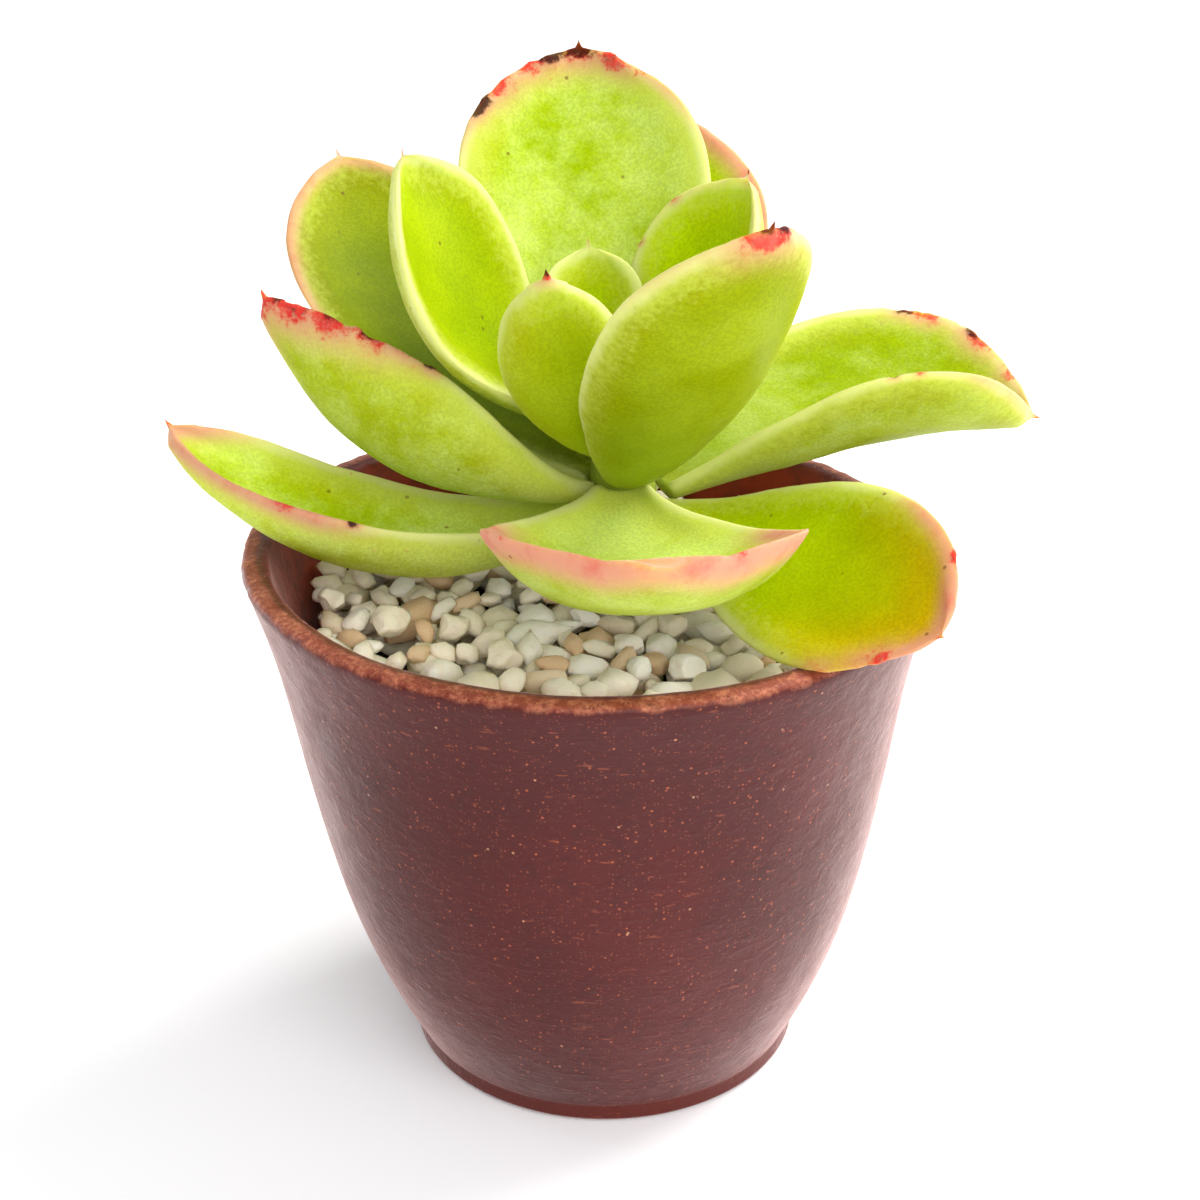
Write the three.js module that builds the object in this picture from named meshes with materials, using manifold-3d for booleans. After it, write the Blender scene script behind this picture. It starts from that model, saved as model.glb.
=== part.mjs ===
// A leafy rosette succulent planted in a small fibre pot that is topped with pale gravel.
// Millimetres, +Z up, origin at the middle of the pot's flat underside. The front is towards -Y.
import * as THREE from 'three';
import { mergeVertices } from 'three/addons/utils/BufferGeometryUtils.js';
import Module from 'manifold-3d';

// Pot
const potHeight = 64;
const rimRadius = 40;
const footRadius = 23.6;
const footHeight = 2.4;
const footStep = 0.5; // height of the slanted step from the foot to the body
const footEdge = 0.6;
const wallThickness = 3.2;
const floorThickness = 4.5;
const lipRadius = 0.9;
const belly = 0.68; // how much of the swell comes low down; the rest is the flare at the rim
const drainHoles = 4;
const drainRadius = 2.5;
const drainCircle = 13;
const rimShift = 1.8; // the pot is a little out of true: its rim sits this far to -X
const rimTip = 1; // and is tipped by this many degrees, down on the +X side

// Filling
const headspace = 8.5; // from the rim down to the bed that the loose stones lie on
const bedThickness = 5;
const pebbleCount = 26;
const pebbleSmallest = 1.7;
const pebbleLargest = 2.7;

// Plant
const stemX = 2;
const stemY = 5;
const stemFootRadius = 5;
const stemTopRadius = 2.6;
const stemDepth = 12; // how far the stem stands below the top of the bed
const stemRise = 20.5; // and how far above the rim
const stemDome = 1.3; // height of the rounded end over that
const pointLength = 1.2; // the small sharp point on each leaf's tip
const marginThickness = 0.9;

const clearance = 0.3; // between any two pieces that touch
const roundSteps = 48;
const overcut = 1; // how far a cutter stands out past what it cuts

// One row per leaf, from the lowest to the innermost. around: direction it grows in, from +X towards +Y;
// height: of its base above the rim; rise: slope of its midrib at the base and at the tip; bend: how far it
// turns sideways; roll: how far it turns about its midrib; cup: half angle of its hollow across;
// broadest: where along it is widest; neck: width of its base as a share of the broadest.
const leafColumns = [
  'around', 'height', 'length', 'width', 'riseAtBase', 'riseAtTip', 'bend', 'roll', 'cup',
  'broadest', 'thickness', 'neck',
];
const leafRows = [
  [88, 2.5, 42, 28, 4, 24, 6, 0, 26, 0.6, 3.2, 0.24],
  [201, 4, 51.5, 21.5, -23, 44, -43, 7, 56, 0.56, 3.2, 0.24],
  [316, 4.3, 47, 23, 2, 2, -18, 36, 15, 0.64, 2.6, 0.17],
  [22, 4.9, 45.5, 43, 25, -9, -30, -8, 50, 0.66, 3.2, 0.2],
  [143, 6.3, 54, 31, 15, 51, -16, -1, 18, 0.6, 3.2, 0.2],
  [269, 6.5, 48, 35.5, -12, 37, 13, -3, 43, 0.7, 3.4, 0.18],
  [80, 7.7, 47, 26, 30, 55, 0, 10, 21, 0.67, 3.2, 0.17],
  [278, 8.9, 52, 23, 34, 59, 29, -1, 33, 0.7, 3.4, 0.27],
  [202, 6.5, 43.5, 17, 12, 52, -37, 58, 34, 0.53, 3.6, 0.17],
  [105, 10.4, 49, 31, 48, 53, -15, -3, 34, 0.62, 3.2, 0.2],
  [246, 11.5, 29.5, 15.5, 36, 77, 1, 27, 54, 0.52, 2.4, 0.3],
  [33, 12.3, 29.5, 23, 60, 71, -4, 0, 45, 0.59, 3, 0.24],
  [177, 13.5, 38, 28, 29, 83, 10, -21, 29, 0.66, 3, 0.22],
  [341, 15.8, 15.5, 11.5, 58, 80, 6, 4, 45, 0.56, 2, 0.3],
  [116, 16.5, 16.5, 12, 59, 50, -23, -9, 46, 0.58, 2.2, 0.3],
  [190, 18.5, 11, 9, 55, 80, 0, 0, 50, 0.55, 1.8, 0.35],
  [310, 19.3, 9, 8, 55, 80, 0, 0, 50, 0.55, 1.6, 0.35],
];
const leafStations = [0, 0.07, 0.16, 0.27, 0.39, 0.51, 0.63, 0.74, 0.84, 0.92, 0.97];
const acrossUpper = [-0.9, -0.5, 0, 0.5, 0.9];
const acrossLower = [0.8, 0.42, 0, -0.42, -0.8];

const bedTop = potHeight - headspace;
const bedBottom = bedTop - bedThickness;
const soilTop = bedBottom - clearance;
const soilBottom = floorThickness + clearance;
const stemTop = potHeight + stemRise;

const colours = {
  pot: [0x6b3a34, 0.45],
  soil: [0x33241b, 0.95],
  gravel: [0xe3dac6, 0.8],
  stem: [0x8c7a4a, 0.8],
  leaf: [0xb0cc2e, 0.5],
};
const materials = {};
for (const [name, [color, roughness]] of Object.entries(colours)) {
  materials[name] = new THREE.MeshStandardMaterial({ color, roughness, metalness: 0 });
}

const wasm = await Module();
wasm.setup();

const radians = THREE.MathUtils.degToRad;
const succulent = new THREE.Group();

function addPiece(name, geometry, material) {
  const mesh = new THREE.Mesh(geometry, materials[material]);
  mesh.name = name;
  succulent.add(mesh);
  return mesh;
}

function bare(geometry) {
  geometry.deleteAttribute('normal');
  geometry.deleteAttribute('uv');
  return mergeVertices(geometry, 1e-4);
}

function toManifold(geometry) {
  const merged = bare(geometry);
  const vertProperties = new Float32Array(merged.getAttribute('position').array);
  const triVerts = new Uint32Array(merged.index.array);
  return new wasm.Manifold(new wasm.Mesh({ numProp: 3, vertProperties, triVerts }));
}

function fromManifold(solid) {
  const { vertProperties, triVerts } = solid.getMesh();
  const geometry = new THREE.BufferGeometry();
  geometry.setAttribute('position', new THREE.BufferAttribute(vertProperties, 3));
  geometry.setIndex(new THREE.BufferAttribute(triVerts, 1));
  return geometry;
}

function cutFrom(geometry, cutters) {
  let solid = toManifold(geometry);
  for (const cutter of cutters) solid = solid.subtract(toManifold(cutter));
  return fromManifold(solid);
}

// A turned solid about the Z axis, from a profile of [radius, height] pairs.
function turned(profile) {
  const points = profile.map(([radius, height]) => new THREE.Vector2(radius, height));
  return new THREE.LatheGeometry(points, roundSteps).rotateX(Math.PI / 2);
}

function uprightCylinder(radius, bottom, top, x, y, steps = 24) {
  const geometry = new THREE.CylinderGeometry(radius, radius, top - bottom, steps);
  return geometry.rotateX(Math.PI / 2).translate(x, y, (top + bottom) / 2);
}

// The pot and what fills it share this slight lean, which leaves the underside flat.
function outOfTrue(x, y, z) {
  const level = z / potHeight;
  const shifted = x - rimShift * level;
  return [shifted, y, z - Math.tan(radians(rimTip)) * level * shifted];
}

function lean(geometry) {
  const position = geometry.getAttribute('position');
  for (let i = 0; i < position.count; i++) {
    position.setXYZ(i, ...outOfTrue(position.getX(i), position.getY(i), position.getZ(i)));
  }
  return geometry;
}

function outerRadius(z) {
  const level = Math.max(0, (z - footHeight) / (potHeight - footHeight));
  const swell = belly * (1 - (1 - level) ** 3) + (1 - belly) * level ** 4;
  return footRadius + (rimRadius - footRadius) * swell;
}

function innerRadius(z) {
  return outerRadius(z) - wallThickness;
}

// Heights from one level to another, closer together near the start.
function levels(from, to, steps) {
  const list = [];
  const crowding = 1.3;
  for (let i = 0; i <= steps; i++) list.push(from + (to - from) * (i / steps) ** crowding);
  return list;
}

function potGeometry() {
  const profile = [[0, 0], [footRadius - footEdge, 0], [footRadius, footEdge], [footRadius, footHeight]];
  const shoulder = footHeight + footStep;
  const lipStart = potHeight - lipRadius;
  profile.push(...levels(shoulder, lipStart, 9).map((z) => [outerRadius(z), z]));
  for (const angle of [30, 60, 90]) {
    const out = outerRadius(lipStart) - lipRadius + lipRadius * Math.cos(radians(angle));
    profile.push([out, lipStart + lipRadius * Math.sin(radians(angle))]);
  }
  for (const angle of [90, 60, 30]) {
    const out = innerRadius(lipStart) + lipRadius - lipRadius * Math.cos(radians(angle));
    profile.push([out, lipStart + lipRadius * Math.sin(radians(angle))]);
  }
  profile.push(...levels(floorThickness, lipStart, 7).reverse().map((z) => [innerRadius(z), z]));
  profile.push([0, floorThickness]);
  const drains = [];
  for (let i = 0; i < drainHoles; i++) {
    const angle = (i + 0.5) / drainHoles * Math.PI * 2;
    const [x, y] = [drainCircle * Math.cos(angle), drainCircle * Math.sin(angle)];
    drains.push(uprightCylinder(drainRadius, -overcut, floorThickness + overcut, x, y, 12));
  }
  return lean(cutFrom(turned(profile), drains));
}

// A filling layer that follows the pot's inner wall, with a hole for the stem.
function layerGeometry(bottom, top, wallSteps) {
  const wall = levels(bottom, top, wallSteps);
  const profile = [[0, bottom], ...wall.map((z) => [innerRadius(z) - clearance, z]), [0, top]];
  const socketRadius = stemFootRadius + clearance;
  const socketBottom = bedTop - stemDepth - clearance;
  const socket = uprightCylinder(socketRadius, socketBottom, bedTop + overcut, stemX, stemY);
  return cutFrom(lean(turned(profile)), [socket]);
}

function stemRadiusAt(z) {
  const share = THREE.MathUtils.clamp((z - bedTop) / (stemTop - bedTop), 0, 1);
  return THREE.MathUtils.lerp(stemFootRadius, stemTopRadius, share);
}

function stemGeometry() {
  const bottom = bedTop - stemDepth;
  const profile = [[0, bottom], [stemFootRadius, bottom], [stemFootRadius, bedTop]];
  profile.push([stemTopRadius, stemTop], [stemTopRadius * 0.6, stemTop + stemDome * 0.77]);
  profile.push([0, stemTop + stemDome]);
  const points = profile.map(([radius, height]) => new THREE.Vector2(radius, height));
  return new THREE.LatheGeometry(points, 16).rotateX(Math.PI / 2).translate(stemX, stemY, 0);
}

// Half width along a leaf, as a share of the broadest half width: a wedge that swells out of the neck,
// then a round end.
function outlineAt(along, leaf) {
  const [swell, fullness, roundness] = [1.25, 2.1, 0.62];
  if (along < leaf.broadest) {
    return leaf.neck + (1 - leaf.neck) * Math.sin(Math.PI / 2 * along / leaf.broadest) ** swell;
  }
  const past = (along - leaf.broadest) / (1 - leaf.broadest);
  return Math.max(0, 1 - past ** fullness) ** roundness;
}

// Thickness along a leaf: fleshy near the base, thin at the tip.
function depthAt(along, leaf) {
  const fattestAt = 0.35;
  const [heel, fattest, thinning, taper] = [0.62, 1.12, 0.8, 1.6];
  if (along < fattestAt) {
    return leaf.thickness * (heel + (fattest - heel) * Math.sin(Math.PI / 2 * along / fattestAt));
  }
  return leaf.thickness * (fattest - thinning * ((along - fattestAt) / (1 - fattestAt)) ** taper);
}

// The midrib as a walk of short steps, with the direction, side and face of the blade at each.
function midribOf(leaf) {
  const steps = 120;
  const rolledBy = 0.6; // how far along the blade has turned all the way about its midrib
  const place = new THREE.Vector3();
  const walk = [];
  for (let i = 0; i <= steps; i++) {
    const along = i / steps;
    const rise = radians(THREE.MathUtils.lerp(leaf.riseAtBase, leaf.riseAtTip, along));
    const heading = radians(leaf.around + leaf.bend * along);
    const roll = radians(leaf.roll) * Math.sin(Math.PI / 2 * Math.min(1, along / rolledBy));
    const forward = new THREE.Vector3(
      Math.cos(rise) * Math.cos(heading),
      Math.cos(rise) * Math.sin(heading),
      Math.sin(rise),
    );
    const side = new THREE.Vector3(-Math.sin(heading), Math.cos(heading), 0);
    side.applyAxisAngle(forward, roll);
    const face = new THREE.Vector3().crossVectors(forward, side);
    if (i > 0) place.addScaledVector(forward, leaf.length / steps);
    walk.push({ place: place.clone(), forward, side, face });
  }
  return walk;
}

// One closed ring of points round the blade: its hollow upper face, its margins and its full lower face.
function ringAt(along, walk, leaf) {
  const at = walk[Math.round(along * (walk.length - 1))];
  const halfAngle = radians(leaf.cup);
  const bow = leaf.width / 2 * outlineAt(along, leaf) / halfAngle;
  const depth = depthAt(along, leaf);
  const margin = Math.min(marginThickness / 2, depth * 0.3);
  const pointAt = (across, below) => {
    const angle = across * halfAngle;
    return at.place.clone()
      .addScaledVector(at.side, (bow + below) * Math.sin(angle))
      .addScaledVector(at.face, bow - (bow + below) * Math.cos(angle));
  };
  const [flatness, roundness] = [2.2, 0.6];
  const under = (across) => margin + (depth - margin) * (1 - Math.abs(across) ** flatness) ** roundness;
  return [
    ...acrossUpper.map((across) => pointAt(across, 0)),
    pointAt(1, margin),
    ...acrossLower.map((across) => pointAt(across, under(across))),
    pointAt(-1, margin),
  ];
}

function leafGeometry(leaf) {
  const walk = midribOf(leaf);
  const rings = leafStations.map((along) => ringAt(along, walk, leaf));
  const outward = new THREE.Vector3(Math.cos(radians(leaf.around)), Math.sin(radians(leaf.around)), 0);
  const base = potHeight + leaf.height;
  const nearest = Math.min(...rings[0].map((point) => point.dot(outward)));
  const seat = new THREE.Vector3(stemX, stemY, base);
  seat.addScaledVector(outward, stemRadiusAt(base) + clearance - nearest);
  const upperMiddle = acrossUpper.indexOf(0);
  const lowerMiddle = acrossUpper.length + 1 + acrossLower.indexOf(0);
  const heel = new THREE.Vector3().lerpVectors(rings[0][upperMiddle], rings[0][lowerMiddle], 0.6);
  const end = walk[walk.length - 1];
  const point = end.place.clone().addScaledVector(end.forward, pointLength);
  const vertices = [heel, ...rings.flat(), point].map((vertex) => vertex.clone().add(seat));
  const around = rings[0].length;
  const last = vertices.length - 1;
  const faces = [];
  for (let j = 0; j < around; j++) {
    const next = (j + 1) % around;
    faces.push(0, 1 + j, 1 + next);
    for (let i = 0; i < rings.length - 1; i++) {
      const [a, b] = [1 + i * around + j, 1 + i * around + next];
      faces.push(a, a + around, b, b, a + around, b + around);
    }
    faces.push(last, last - around + next, last - around + j);
  }
  const geometry = new THREE.BufferGeometry().setFromPoints(vertices);
  geometry.setIndex(faces);
  return geometry;
}

// A fixed sequence of numbers between 0 and 1, so that the stones lie the same way each time.
function fixedSequence(seed) {
  let state = seed;
  return () => {
    state = (state * 1103515245 + 12345) % 2147483648;
    return state / 2147483648;
  };
}

// Places for the loose stones: scattered over the bed, clear of the wall, the stem and one another.
function pebblePlaces() {
  const next = fixedSequence(11);
  const places = [];
  const reach = innerRadius(bedTop) - 1;
  const spread = 1.35; // room round each stone, as a multiple of its radius
  const longest = 1.3; // half length of the longest stone, likewise
  for (let tries = 0; places.length < pebbleCount && tries < 4000; tries++) {
    const radius = THREE.MathUtils.lerp(pebbleSmallest, pebbleLargest, next());
    const away = reach * Math.sqrt(next());
    const angle = next() * Math.PI * 2;
    const [x, y] = [away * Math.cos(angle), away * Math.sin(angle)];
    const stemGap = Math.hypot(x - rimShift * bedTop / potHeight - stemX, y - stemY);
    const clear = places.every(
      (other) => Math.hypot(x - other.x, y - other.y) > spread * (radius + other.radius),
    );
    if (away < reach - radius * longest && stemGap > stemFootRadius + radius * longest + 1 && clear) {
      places.push({ x, y, radius, turn: next() * Math.PI * 2, seed: 1 + Math.floor(next() * 9999) });
    }
  }
  return places;
}

// A worn stone: a ball pushed in and out, longer than it is wide, and lying flat.
function pebbleGeometry({ x, y, radius, turn, seed }) {
  const next = fixedSequence(seed);
  const lumps = [next(), next(), next()];
  const [long, wide, high] = [1 + 0.25 * next(), 0.85 + 0.15 * next(), 0.6 + 0.2 * next()];
  const geometry = bare(new THREE.IcosahedronGeometry(1, 1));
  const position = geometry.getAttribute('position');
  for (let i = 0; i < position.count; i++) {
    const p = new THREE.Vector3().fromBufferAttribute(position, i);
    const swell = 1 + 0.09 * Math.sin(3 * p.x + 6 * lumps[0]) + 0.08 * Math.sin(4 * p.y + 6 * lumps[1])
      + 0.07 * Math.sin(4 * p.z + 6 * lumps[2]);
    position.setXYZ(i, p.x * swell * long, p.y * swell * wide, p.z * swell * high);
  }
  geometry.scale(radius, radius, radius).rotateZ(turn).computeBoundingBox();
  const [px, py, pz] = outOfTrue(x, y, bedTop);
  const slope = Math.tan(radians(rimTip)) * geometry.boundingBox.max.x;
  return geometry.translate(px, py, pz + clearance + slope - geometry.boundingBox.min.z);
}

function numbered(name, index) {
  return `${name}_${String(index + 1).padStart(2, '0')}`;
}

addPiece('pot', potGeometry(), 'pot');
addPiece('soil', layerGeometry(soilBottom, soilTop, 7), 'soil');
addPiece('gravel_bed', layerGeometry(bedBottom, bedTop, 1), 'gravel');
addPiece('stem', stemGeometry(), 'stem');
leafRows.forEach((row, index) => {
  const leaf = Object.fromEntries(leafColumns.map((column, i) => [column, row[i]]));
  addPiece(numbered('leaf', index), leafGeometry(leaf), 'leaf');
});
pebblePlaces().forEach((place, index) => {
  addPiece(numbered('pebble', index), pebbleGeometry(place), 'gravel');
});

export default succulent;
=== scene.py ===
import math

import bmesh
import bpy
import numpy as np
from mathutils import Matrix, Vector, noise


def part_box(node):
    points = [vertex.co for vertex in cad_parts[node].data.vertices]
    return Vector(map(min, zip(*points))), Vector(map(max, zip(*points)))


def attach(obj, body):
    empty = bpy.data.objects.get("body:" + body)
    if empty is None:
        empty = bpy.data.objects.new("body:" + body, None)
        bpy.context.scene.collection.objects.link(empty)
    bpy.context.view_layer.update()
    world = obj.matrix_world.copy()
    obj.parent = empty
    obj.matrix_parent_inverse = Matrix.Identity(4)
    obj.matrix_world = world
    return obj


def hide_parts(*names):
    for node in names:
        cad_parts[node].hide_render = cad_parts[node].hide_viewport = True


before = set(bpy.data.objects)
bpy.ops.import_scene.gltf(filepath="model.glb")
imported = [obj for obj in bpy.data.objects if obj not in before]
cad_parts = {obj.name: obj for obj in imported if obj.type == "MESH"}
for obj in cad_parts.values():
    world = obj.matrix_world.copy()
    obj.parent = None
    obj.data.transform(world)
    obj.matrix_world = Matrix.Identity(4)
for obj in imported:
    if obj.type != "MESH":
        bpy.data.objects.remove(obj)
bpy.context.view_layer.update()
mm = 0.001
mergeDistance = 2e-6  # metres
print("frame loaded:", len(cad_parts), "nodes")


def mergedCopy(nodeName):
    # a CAD node's mesh is loose triangles, so its copy is merged before it is read
    copy = bmesh.new()
    copy.from_mesh(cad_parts[nodeName].data)
    bmesh.ops.remove_doubles(copy, verts=copy.verts, dist=mergeDistance)
    copy.verts.ensure_lookup_table()
    places = np.array([v.co[:] for v in copy.verts])
    neighbours = [[e.other_vert(v).index for e in v.link_edges] for v in copy.verts]
    copy.free()
    return places, neighbours


def gridFaces(rows, columns, startCap, endCap):
    # quads between closed rows, then a fan of triangles to a single point at either end
    faces = []
    for i in range(rows - 1):
        for j in range(columns):
            k = (j + 1) % columns
            faces.append((i * columns + j, i * columns + k, (i + 1) * columns + k, (i + 1) * columns + j))
    last = (rows - 1) * columns
    for j in range(columns):
        k = (j + 1) % columns
        faces.append((startCap, k, j))
        faces.append((endCap, last + j, last + k))
    return faces


def addObject(name, data):
    made = bpy.data.objects.new(name, data)
    bpy.context.scene.collection.objects.link(made)
    return made


def markVertices(mesh, label, values):
    # one number for each vertex, which the materials read by its label
    mesh.attributes.new(label, "FLOAT", "POINT").data.foreach_set("value", np.asarray(values, np.float32))


def newPiece(name, places, faces, material, attributes=None):
    mesh = bpy.data.meshes.new(name)
    mesh.from_pydata([tuple(p) for p in places], [], faces)
    for label, values in (attributes or {}).items():
        markVertices(mesh, label, values)
    shell = bmesh.new()
    shell.from_mesh(mesh)
    bmesh.ops.recalc_face_normals(shell, faces=shell.faces)
    shell.to_mesh(mesh)
    shell.free()
    mesh.shade_smooth()
    mesh.materials.append(material)
    return addObject(name, mesh)


def plainMesh(piece):
    # the piece's mesh with its modifiers worked in, which are then removed
    evaluated = piece.evaluated_get(bpy.context.evaluated_depsgraph_get())
    mesh = bpy.data.meshes.new_from_object(evaluated)
    piece.modifiers.clear()
    return mesh


def ruffle(piece, layers, weight=None):
    # pushes each vertex in or out along its normal by smooth noise; layers are (depth, size) pairs
    mesh = piece.data
    count = len(mesh.vertices)
    places = np.empty(count * 3)
    mesh.vertices.foreach_get("co", places)
    places = places.reshape(-1, 3)
    normals = np.empty(count * 3)
    mesh.vertex_normals.foreach_get("vector", normals)
    normals = normals.reshape(-1, 3)
    push = np.zeros(count)
    for depth, size in layers:
        push += depth * np.array([noise.noise(Vector(p / size)) for p in places])
    if weight is not None:
        push *= weight
    mesh.vertices.foreach_set("co", (places + normals * push[:, None]).ravel())
    mesh.update()


def openCurve(points, knots, samples):
    # a smooth curve through points at uneven knots; points may hold many columns at once
    knots = np.asarray(knots, float)
    slopes = np.empty_like(points)
    gaps = np.diff(knots)
    shape = (-1,) + (1,) * (points.ndim - 1)
    steps = np.diff(points, axis=0) / gaps.reshape(shape)
    before, after = gaps[:-1].reshape(shape), gaps[1:].reshape(shape)
    slopes[1:-1] = (steps[:-1] * after + steps[1:] * before) / (before + after)
    slopes[0], slopes[-1] = steps[0], steps[-1]
    if len(points) > 2:
        slopes[0] = 1.5 * steps[0] - 0.5 * slopes[1]
        slopes[-1] = 1.5 * steps[-1] - 0.5 * slopes[-2]
    span = np.clip(np.searchsorted(knots, samples, side="right") - 1, 0, len(gaps) - 1)
    gap = gaps[span].reshape(shape)
    t = ((samples - knots[span]) / gaps[span]).reshape(shape)
    return (
        points[span] * (2 * t ** 3 - 3 * t ** 2 + 1)
        + points[span + 1] * (3 * t ** 2 - 2 * t ** 3)
        + slopes[span] * gap * (t ** 3 - 2 * t ** 2 + t)
        + slopes[span + 1] * gap * (t ** 3 - t ** 2)
    )


def closedCurve(points, divisions):
    # the same round a closed ring, with so many divisions of each span
    count = len(points)
    wrapped = points[np.arange(-2, count + 3) % count]
    knots = np.concatenate([[0], np.cumsum(np.linalg.norm(np.diff(wrapped, axis=0), axis=1))])
    samples = []
    for j, parts in enumerate(divisions):
        a, b = knots[j + 2], knots[j + 3]
        samples += [a + (b - a) * k / parts for k in range(parts)]
    return openCurve(wrapped, knots, np.array(samples))


def finishPiece(piece, nodes):
    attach(piece, "root")
    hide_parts(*nodes)


def namesOf(start):
    return sorted(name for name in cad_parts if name.startswith(start))


def flatAxis(stone, flat):
    # which way a worn flat of a stone faces
    return Vector((
        math.sin(stone + 2.1 * flat),
        math.cos(1.7 * stone + 2.9 * flat),
        math.sin(2.3 * stone + 1.3 * flat + 1),
    )).normalized()


def paint(red, green, blue):
    # a colour as seen on screen, 0 to 255, made linear
    def linear(c):
        c /= 255
        return c / 12.92 if c <= 0.04045 else ((c + 0.055) / 1.055) ** 2.4
    return (linear(red), linear(green), linear(blue), 1.0)


def paints(settings):
    # every colour in a dictionary of settings
    return {key: paint(*value) for key, value in settings.items() if isinstance(value, tuple)}


def newMaterial(name):
    material = bpy.data.materials.new(name)
    material.use_nodes = True
    tree = material.node_tree
    shader = next(n for n in tree.nodes if n.type == "BSDF_PRINCIPLED")
    return material, tree, shader


def addNode(tree, kind, options=None, inputs=None):
    node = tree.nodes.new(kind)
    for key, value in (options or {}).items():
        setattr(node, key, value)
    for key, value in (inputs or {}).items():
        if isinstance(value, bpy.types.NodeSocket):
            tree.links.new(value, node.inputs[key])
        else:
            node.inputs[key].default_value = value
    return node


def maths(tree, operation, a, b=0.0, clamp=False):
    options = {"operation": operation, "use_clamp": clamp}
    return addNode(tree, "ShaderNodeMath", options, {0: a, 1: b}).outputs[0]


def plus(tree, a, b):
    return maths(tree, "ADD", a, b)


def times(tree, a, b):
    return maths(tree, "MULTIPLY", a, b)


def sway(tree, value, width):
    # noise from 0 to 1 made to swing either side of nothing
    return times(tree, maths(tree, "SUBTRACT", value, 0.5), width)


def ramp(tree, value, low, high, toLow=0.0, toHigh=1.0):
    node = addNode(tree, "ShaderNodeMapRange", {"interpolation_type": "SMOOTHSTEP"},
                   {0: value, 1: low, 2: high, 3: toLow, 4: toHigh})
    return node.outputs[0]


def blend(tree, factor, a, b, kind="MIX"):
    node = addNode(tree, "ShaderNodeMix", {"data_type": "RGBA", "blend_type": kind, "clamp_factor": True},
                   {0: factor, 6: a, 7: b})
    return node.outputs[2]


def field(tree, label):
    return addNode(tree, "ShaderNodeAttribute", {"attribute_name": label}).outputs["Fac"]


def cloud(tree, place, size, detail=2.0, rough=0.5, stretch=None):
    # noise whose lumps are about this big, in metres
    if stretch is not None:
        turned = {0: place, 2: stretch[0], 3: stretch[1]}  # turned, then stretched
        place = addNode(tree, "ShaderNodeMapping", None, turned).outputs[0]
    return addNode(tree, "ShaderNodeTexNoise", None,
                   {"Vector": place, "Scale": 1 / size, "Detail": detail, "Roughness": rough}).outputs[0]


def cells(tree, place, size):
    # how far the middle of the nearest cell is, and three numbers that differ from cell to cell
    node = addNode(tree, "ShaderNodeTexVoronoi", None, {"Vector": place, "Scale": 1 / size})
    picks = addNode(tree, "ShaderNodeSeparateColor", None, {0: node.outputs["Color"]}).outputs
    return node.outputs["Distance"], picks


def relief(tree, shader, layers):
    # bumps one after another; layers are (height socket, depth in metres, strength)
    normal = None
    for height, depth, strength in layers:
        inputs = {"Height": height, "Distance": depth, "Strength": strength}
        if normal is not None:
            inputs["Normal"] = normal
        normal = addNode(tree, "ShaderNodeBump", None, inputs).outputs[0]
    tree.links.new(normal, shader.inputs["Normal"])


def objectPlace(tree):
    return addNode(tree, "ShaderNodeTexCoord").outputs["Object"]


def setSockets(shader, values):
    # what is the same all over a surface
    for label, value in values.items():
        shader.inputs[label].default_value = value


studio = {
    "target": (-0.0006, 0.0, 0.057),
    "distance": 0.26,
    "elevation": 25.5,
    "lens": 67.0,
    "floorHalf": 3.0,
    "floorColour": (252, 252, 253),
    "floorGlow": 0.03,
    "worldStrength": 0.63,
    "lightsAimAt": (0.0, 0.0, 0.05),
    "lights": {  # place, size, watts and colour
        "keyLight": ((0.42, 0.26, 0.62), 0.5, 6.2, (1.0, 0.985, 0.96)),
        "frontFill": ((0.22, -0.62, 0.46), 0.8, 4.6, (0.99, 0.99, 1.0)),
        "sideFill": ((0.75, -0.35, 0.30), 0.7, 1.4, (1.0, 1.0, 1.0)),
        "edgeLeft": ((-0.55, 0.38, 0.08), 0.35, 1.8, (1.0, 1.0, 1.0)),
        "edgeRight": ((0.60, 0.36, 0.10), 0.4, 2.4, (1.0, 1.0, 1.0)),
    },
}


def addCamera():
    elevation = math.radians(studio["elevation"])
    back = Vector((0.0, -math.cos(elevation), math.sin(elevation)))
    data = bpy.data.cameras.new("camera")
    data.lens = studio["lens"]
    data.sensor_width = 36.0
    data.clip_start = 0.01
    camera = addObject("camera", data)
    camera.location = Vector(studio["target"]) + back * studio["distance"]
    camera.rotation_euler = (-back).to_track_quat("-Z", "Y").to_euler()
    bpy.context.scene.camera = camera


def addLight(name, place, size, power, colour):
    data = bpy.data.lights.new(name, "AREA")
    data.shape = "DISK"
    data.size = size
    data.energy = power
    data.color = colour
    lamp = addObject(name, data)
    lamp.location = place
    aim = Vector(studio["lightsAimAt"]) - Vector(place)
    lamp.rotation_euler = aim.to_track_quat("-Z", "Y").to_euler()


def addStudio():
    addCamera()
    material, _, shader = newMaterial("paperFloor")
    setSockets(shader, {
        "Base Color": paint(*studio["floorColour"]),
        "Roughness": 0.9,
        "Specular IOR Level": 0.1,
        "Emission Color": (1.0, 1.0, 1.0, 1.0),
        "Emission Strength": studio["floorGlow"],
    })
    half = studio["floorHalf"]
    corners = [(-half, -half, 0.0), (half, -half, 0.0), (half, half, 0.0), (-half, half, 0.0)]
    floor = newPiece("floor", corners, [(0, 1, 2, 3)], material)
    for name, light in studio["lights"].items():
        addLight(name, *light)
    world = bpy.data.worlds.new("softWhiteRoom")
    world.use_nodes = True
    background = world.node_tree.nodes["Background"]
    setSockets(background, {"Color": (1.0, 1.0, 1.0, 1.0), "Strength": studio["worldStrength"]})
    bpy.context.scene.world = world
    bpy.context.scene.view_settings.view_transform = "Standard"
    print("studio ready")


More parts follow.
